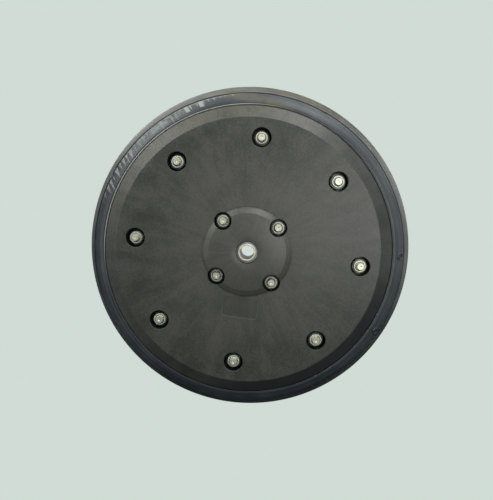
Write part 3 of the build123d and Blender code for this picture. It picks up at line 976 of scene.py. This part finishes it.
# %% The hexagon slice
wrench_size = 17.0
half_corner = math.radians(30)
flat_inset = 0.15
corner_radius = wrench_size / 2 / math.cos(half_corner)
flat_radius = wrench_size / 2 - flat_inset
corner_drop = (corner_radius - flat_radius) * math.tan(half_corner)
spare_length = 2.0
blank_radius = corner_radius + 0.01
HEXAGON = 6
ROUND_STEPS = 48
FACING = 0.99
STEEL_EDGE = 28
print("across the corners:", round(2 * corner_radius, 2), "mm")

# %% Selecting and pushing faces
def select_faces(piece, wanted):
    """In edit mode, select just the faces that a test picks."""
    bpy.ops.mesh.select_mode(type="FACE")
    bpy.ops.mesh.select_all(action="DESELECT")
    bpy.ops.object.mode_set(mode="OBJECT")
    for face in piece.data.polygons:
        face.select = wanted(face)
    open_mesh()


def facing(face, direction):
    """True for a face that looks along +Y (1) or -Y (-1)."""
    return face.normal.y * direction > FACING


def push(distance, share=1.0):
    """Extrude the selected faces along Y by this many millimetres, and scale them about the axle."""
    bpy.ops.mesh.extrude_region_move(TRANSFORM_OT_translate={"value": (0, mm(distance), 0)})
    if share != 1.0:
        bpy.ops.transform.resize(value=(share, 1, share), center_override=(0, 0, 0))


# %% Bars and slices
def add_bar(vertices, radius, low, high):
    """A bar along Y from low to high, in millimetres."""
    bpy.ops.mesh.primitive_cylinder_add(
        vertices=vertices,
        radius=mm(radius),
        depth=mm(high - low),
        location=(0, mm((low + high) / 2), 0),
        rotation=(QUARTER, 0, 0),
    )
    bar = bpy.context.object
    settle(bar)
    return bar


def hexagon_slice(name, low, high):
    """A slice of hexagon bar between two places, with its corners turned off at both ends."""
    slice_piece = add_bar(HEXAGON, corner_radius, low - spare_length, high + spare_length)
    slice_piece.name = slice_piece.data.name = name
    blank = add_bar(ROUND_STEPS, blank_radius, low + corner_drop, high - corner_drop)
    open_mesh()
    for direction in (-1, 1):
        select_faces(blank, lambda face: facing(face, direction))
        push(direction * corner_drop, flat_radius / corner_radius)
    bpy.ops.object.mode_set(mode="OBJECT")
    choose(slice_piece)
    cut = slice_piece.modifiers.new("turned_corners", "BOOLEAN")
    cut.operation = "INTERSECT"
    cut.solver = "EXACT"
    cut.object = blank
    bpy.ops.object.modifier_apply(modifier=cut.name)
    bpy.data.objects.remove(blank)
    return slice_piece

# %% [markdown]
# ## The bolt
# The shank grows out of the round flat under the head: the plain part, the thread, one ridge after
# another, then the chamfer and the small dimple that the rolling dies leave in the end. Rings stand in
# for the helix, because the eye can't tell them apart at this size, and rings close cleanly.

# %% Model one bolt
bolt_radius = 5.0
bolt_length = 30.0
bolt_head_height = 6.4
plain_length = 8.0
thread_pitch = 1.5
thread_depth = 0.75
end_chamfer = 1.2
dimple_radius = 1.4
dimple_depth = 0.8
dimple_taper = 0.35
down_flank, root, up_flank, crest = (0.42, 0.12, 0.36, 0.1)


def make_bolt():
    bolt = hexagon_slice("bolt", 0.0, bolt_head_height)
    open_mesh()
    select_faces(bolt, lambda face: facing(face, -1))
    bpy.ops.mesh.inset(thickness=mm(flat_radius - bolt_radius))
    push(-plain_length)
    root_share = (bolt_radius - thread_depth) / bolt_radius
    ridges = int((bolt_length - end_chamfer - plain_length) / thread_pitch)
    for _ in range(ridges):
        push(-down_flank * thread_pitch, root_share)
        push(-root * thread_pitch)
        push(-up_flank * thread_pitch, 1 / root_share)
        push(-crest * thread_pitch)
    rest = bolt_length - plain_length - ridges * thread_pitch
    push(-rest, (bolt_radius - end_chamfer) / bolt_radius)
    bpy.ops.mesh.inset(thickness=mm(bolt_radius - end_chamfer - dimple_radius))
    push(dimple_depth, dimple_taper)
    close_mesh()
    smooth_by_angle(bolt, STEEL_EDGE)
    bolt.data.materials.append(finishes["fastener_zinc"])
    return bolt


bolt = make_bolt()
print("bolt:", len(bolt.data.polygons), "faces, length", round(bolt.dimensions.y * METRE, 1), "mm")

# %% [markdown]
# ## The lock nut
# A nylon-insert nut has a collar above its hexagon, rolled in at the top to hold the insert. The
# collar is extruded from the round flat in small steps that follow the roll, then the mouth is inset
# and pushed in past the insert, down to the hole for the bolt. Last, the hole is opened through the
# seat and the two loops are bridged.

# %% Model one nut
nut_hex_height = 7.2
nut_height = 10.0
collar_radius = 7.2
mouth_radius = 5.6
insert_radius = 6.3
insert_top = 9.3
insert_bottom = 6.9
hole_radius = 5.02
collar_steps = ((1.7, 1.0), (0.55, 0.985), (0.35, 0.96), (0.2, 0.965))
ledge = 0.01
collar_start = 0.1


def is_seat(face):
    """True for the flat that the nut stands on."""
    return facing(face, 1) and abs(face.center.y) < WELD and face.area > mm(1) ** 2


def make_nut():
    nut = hexagon_slice("nut", -nut_hex_height, 0.0)
    open_mesh()
    select_faces(nut, lambda face: facing(face, -1))
    bpy.ops.mesh.inset(thickness=mm(flat_radius - collar_radius))
    radius = collar_radius
    for rise, share in collar_steps:
        push(-rise, share)
        radius *= share
    bpy.ops.mesh.inset(thickness=mm(radius - mouth_radius))
    push(nut_height - insert_top)
    push(ledge, insert_radius / mouth_radius)
    push(insert_top - insert_bottom)
    push(ledge, hole_radius / insert_radius)
    bpy.ops.mesh.delete(type="FACE")
    select_faces(nut, is_seat)
    bpy.ops.mesh.inset(thickness=mm(flat_radius - hole_radius))
    bpy.ops.mesh.delete(type="FACE")
    bpy.ops.mesh.select_mode(type="EDGE")
    bpy.ops.mesh.select_all(action="DESELECT")
    bpy.ops.mesh.select_non_manifold(extend=False)
    bpy.ops.mesh.bridge_edge_loops()
    close_mesh()
    smooth_by_angle(nut, STEEL_EDGE)
    # The hexagon gets the zinc painted nearly black, a painted shade, and the collar the zinc painted
    # pale, a painted highlight.
    for kind in ("nut_zinc", "rolled_zinc"):
        nut.data.materials.append(finishes[kind])
    for face in nut.data.polygons:
        beyond_hexagon = face.center.y * METRE < -nut_hex_height - collar_start
        outside_hole = math.hypot(face.center.x, face.center.z) * METRE > mouth_radius
        face.material_index = int(beyond_hexagon and outside_hole)
    return nut


nut = make_nut()
print("nut:", len(nut.data.polygons), "faces, height", round(nut.dimensions.y * METRE, 1), "mm")

# %% [markdown]
# ## The washer
# A flat washer is stamped, so one edge is slightly rounded by the punch and the other is crisp. Eight
# points of section say that.

# %% Model one washer
washer_radius = 10.0
washer_hole = 5.2
washer_thickness = 2.0
punch_round = 0.4
crisp_edge = 0.12
WASHER_EDGE = 40
washer_section = [
    (washer_hole, 0.0),
    (washer_hole, washer_thickness - punch_round / 2),
    (washer_hole + punch_round / 2, washer_thickness),
    (washer_radius - punch_round, washer_thickness),
    (washer_radius - punch_round / 3, washer_thickness - punch_round / 3),
    (washer_radius, washer_thickness - punch_round),
    (washer_radius, crisp_edge),
    (washer_radius - crisp_edge, 0.0),
]
washer = turn_ring("washer", washer_section, ROUND_STEPS)
smooth_by_angle(washer, WASHER_EDGE)
# The washer's zinc is painted nearly black: a painted shade.
washer.data.materials.append(finishes["washer_zinc"])
print("washer:", len(washer.data.polygons), "faces")

# %% [markdown]
# ## Setting the fasteners out
# Eight bolts hold the rim halves together near the edge and four hold them at the hub. Every piece is
# a copy with its own mesh. Bolts point at the axle with one corner, as they fell in, and each nut
# stopped at its own angle when it came tight, which the photograph shows one by one.

# %% Bolt circles, turns and seats
wheel_turn = -7.2
hub_turn = 45.0
outer_circle = 133.6
hub_circle = 46.2
outer_nut_turns = (58, 20, 45, 40, 17, 0, 30, 30)
hub_nut_turns = (10, 35, 50, 25)
hexagon_start = 30.0
bolt_seat = bolts_high.y * METRE - bolt_head_height
nut_seat = nuts_high.y * METRE
print("bolt heads seat at", round(bolt_seat, 1), "mm, nuts at", round(nut_seat, 1), "mm")

# %% [markdown]
# The bolts, nuts and washers were modelled at the origin. A copy is turned about its own axis, moved
# to its place, and both are then applied, so its object is back at the origin with its mesh in place.

# %% Copy one fastener
def set_out(template, name, circle, angle, seat, turn, node):
    """A copy of a fastener on a bolt circle, standing on its seat and turned about its own axis."""
    piece = template.copy()
    piece.data = template.data.copy()
    piece.name = piece.data.name = name
    bpy.context.scene.collection.objects.link(piece)
    piece.rotation_euler = (0, -math.radians(turn), 0)
    there = math.radians(angle)
    piece.location = mm(circle * math.cos(there), seat, circle * math.sin(there))
    settle(piece)
    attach(piece, "wheel")
    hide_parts(node)
    return piece


# %% Copy them all
fasteners = []
for group, circle, start, turns in (
    ("outer", outer_circle, wheel_turn, outer_nut_turns),
    ("hub", hub_circle, wheel_turn + hub_turn, hub_nut_turns),
):
    for number, nut_turn in enumerate(turns, 1):
        angle = start + (number - 1) * full_turn / len(turns)
        nut_turn += hexagon_start
        for template, part, seat, turn, node, slot in (
            (bolt, "bolt", bolt_seat, angle + hexagon_start, "bolts", "fastener_zinc"),
            (nut, "nut", nut_seat, nut_turn, "nuts", "fastener_zinc"),
            (washer, "nut_washer", nut_seat, nut_turn, "nut_washers", "washer_zinc"),
            (washer, "bolt_washer", bolt_seat - washer_thickness, angle, "bolt_washers", "washer_zinc"),
        ):
            name = f"{group}_{part}_{number}"
            fasteners.append(set_out(template, name, circle, angle, seat, turn, f"{group}_{node}"))
for template in (bolt, nut, washer):
    bpy.data.objects.remove(template)
print("fasteners:", len(fasteners))

# %% [markdown]
# ## The axle sleeve
# The pale ring in the middle of the hub is the end of a plated tube. Its ends are faced on a lathe, so
# they carry fine rings, and both edges are broken. The plating ends inside, and the bore is painted near
# black, a painted shade down the tube. The sleeve stands still while the wheel turns.

# %% Turn the sleeve
bore_radius = 8.1
sleeve_radius = 10.0
sleeve_end = sleeve_high.y * METRE
outer_break = 0.4
inner_break = 0.3
SLEEVE_STEPS = 96
SLEEVE_EDGE = 30
sleeve_section = []
for end in (-sleeve_end, sleeve_end):
    inwards = math.copysign(1.0, end)
    corner = [
        (bore_radius, end - inwards * inner_break),
        (bore_radius + inner_break, end),
        (sleeve_radius - outer_break, end),
        (sleeve_radius, end - inwards * outer_break),
    ]
    sleeve_section += corner if end < 0 else corner[::-1]
sleeve = turn_ring("axle_sleeve_tube", sleeve_section, SLEEVE_STEPS)
smooth_by_angle(sleeve, SLEEVE_EDGE)
# The faces of the bore get the dark paint: a painted shade down the tube.
for kind in ("sleeve_zinc", "bore_steel"):
    sleeve.data.materials.append(finishes[kind])
for face in sleeve.data.polygons:
    corners = [sleeve.data.vertices[corner].co for corner in face.vertices]
    widest = max(math.hypot(corner.x, corner.z) for corner in corners) * METRE
    face.material_index = int(widest < bore_radius + inner_break / 2)
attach(sleeve, "axle")
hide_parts("axle_sleeve")
print("sleeve:", round(sleeve.dimensions.y * METRE, 1), "mm long")

# %% [markdown]
# ## The studio
# The wheel stands on a plain pale floor under soft light, and on a dark object the light does most of
# the work. A window panel to the right lays a broad sheen on that side of the disc. Panels high up and
# to the left draw the upper half of the rim. A hoop of them beside the wheel, nearly in its plane,
# lights the sidewall and the band. Three panels behind show the rear. The floor and a dome glow in the
# same pale colour, so they meet without a line, and neither throws light back, or the dark lower rim
# would be lost.

# %% Floor and dome
PALE = (0.63, 0.715, 0.665)
BLACK = (0.0, 0.0, 0.0)
MATT = 0.9
DOME_STEPS = 96
dome_radius = 7.9
floor_radius = 8.0
floor_height = -mm(tyre_radius)


def make_backdrop(name):
    """A paint that only glows by itself, so that the floor and the dome meet without a line."""
    finish, shader = new_finish(name, BLACK, MATT, specular=0.0)
    shader.inputs["Emission Color"].default_value = (*PALE, 1.0)
    shader.inputs["Emission Strength"].default_value = 1.0
    return finish


def hide_from_light(piece):
    """Leave a piece visible to the camera alone, so that it neither reflects nor throws light."""
    for ray in ("diffuse", "glossy", "transmission", "shadow"):
        setattr(piece, f"visible_{ray}", False)


bpy.ops.mesh.primitive_circle_add(
    vertices=DOME_STEPS, radius=floor_radius, fill_type="NGON", location=(0, 0, floor_height)
)
floor = bpy.context.object
floor.name = "floor"
bpy.ops.mesh.primitive_uv_sphere_add(segments=DOME_STEPS, ring_count=DOME_STEPS // 2, radius=dome_radius)
dome = bpy.context.object
dome.name = "dome"
for piece in (floor, dome):
    piece.data.materials.append(make_backdrop(piece.name + "_paint"))
    hide_from_light(piece)
print("floor at", round(floor_height, 3), "m")

# %% [markdown]
# ## Panels of light
# Each panel is a soft rectangle that looks at the middle of the wheel's face. Its place is in metres:
# right, back and up. The watts come from comparing a render with the photograph, ring by ring and all
# the way round.

# %% One panel
WARM = (1.0, 0.99, 0.97)


def add_panel(name, place, size, watts):
    """A soft rectangle of light that looks at the middle of the wheel's face."""
    data = bpy.data.lights.new(name, "AREA")
    data.shape = "RECTANGLE"
    data.size, data.size_y = size
    data.energy = watts
    data.color = WARM
    light = bpy.data.objects.new(name, data)
    light.location = place
    aim = Vector((0, mm(front_edge), 0)) - Vector(place)
    light.rotation_euler = aim.to_track_quat("-Z", "Y").to_euler()
    bpy.context.scene.collection.objects.link(light)


# %% Panels in front, behind and all round
panels = (
    ("window_panel", (0.34, -0.74, 0.07), (0.42, 0.42), 2.0),
    ("high_left_panel", (-0.57, -0.55, 0.57), (0.5, 0.4), 2.9),
    ("high_panel", (0.26, -0.55, 0.78), (0.5, 0.4), 2.9),
    ("left_panel", (-0.8, -0.55, 0.0), (0.5, 0.4), 0.7),
    ("rear_left_panel", (-0.6, 1.00, 0.7), (0.7, 0.5), 2.2),
    ("rear_right_panel", (0.7, 1.00, 0.2), (0.7, 0.5), 1.2),
    ("rear_panel", (0.1, 1.3, 0.15), (0.8, 0.7), 3.5),
)
for panel in panels:
    add_panel(*panel)

hoop_radius = 1.0
hoop_place = -0.18
hoop_size = (0.7, 0.4)
hoop_watts = {0: 0.53, 30: 0.97, 60: 2.15, 90: 1.2, 120: 1.7, 150: 0.85, 210: 0.23}
for angle, watts in hoop_watts.items():
    there = math.radians(angle)
    place = (hoop_radius * math.cos(there), hoop_place, hoop_radius * math.sin(there))
    add_panel(f"hoop_panel_{angle}", place, hoop_size, watts)

sky_colour = (0.5, 0.72, 1.0, 1.0)
sky_strength = 0.035
world = bpy.data.worlds.new("studio")
bpy.context.scene.world = world
world.use_nodes = True
sky = world.node_tree.nodes["Background"].inputs
sky["Color"].default_value = sky_colour
sky["Strength"].default_value = sky_strength
print("lights:", len(panels) + len(hoop_watts))
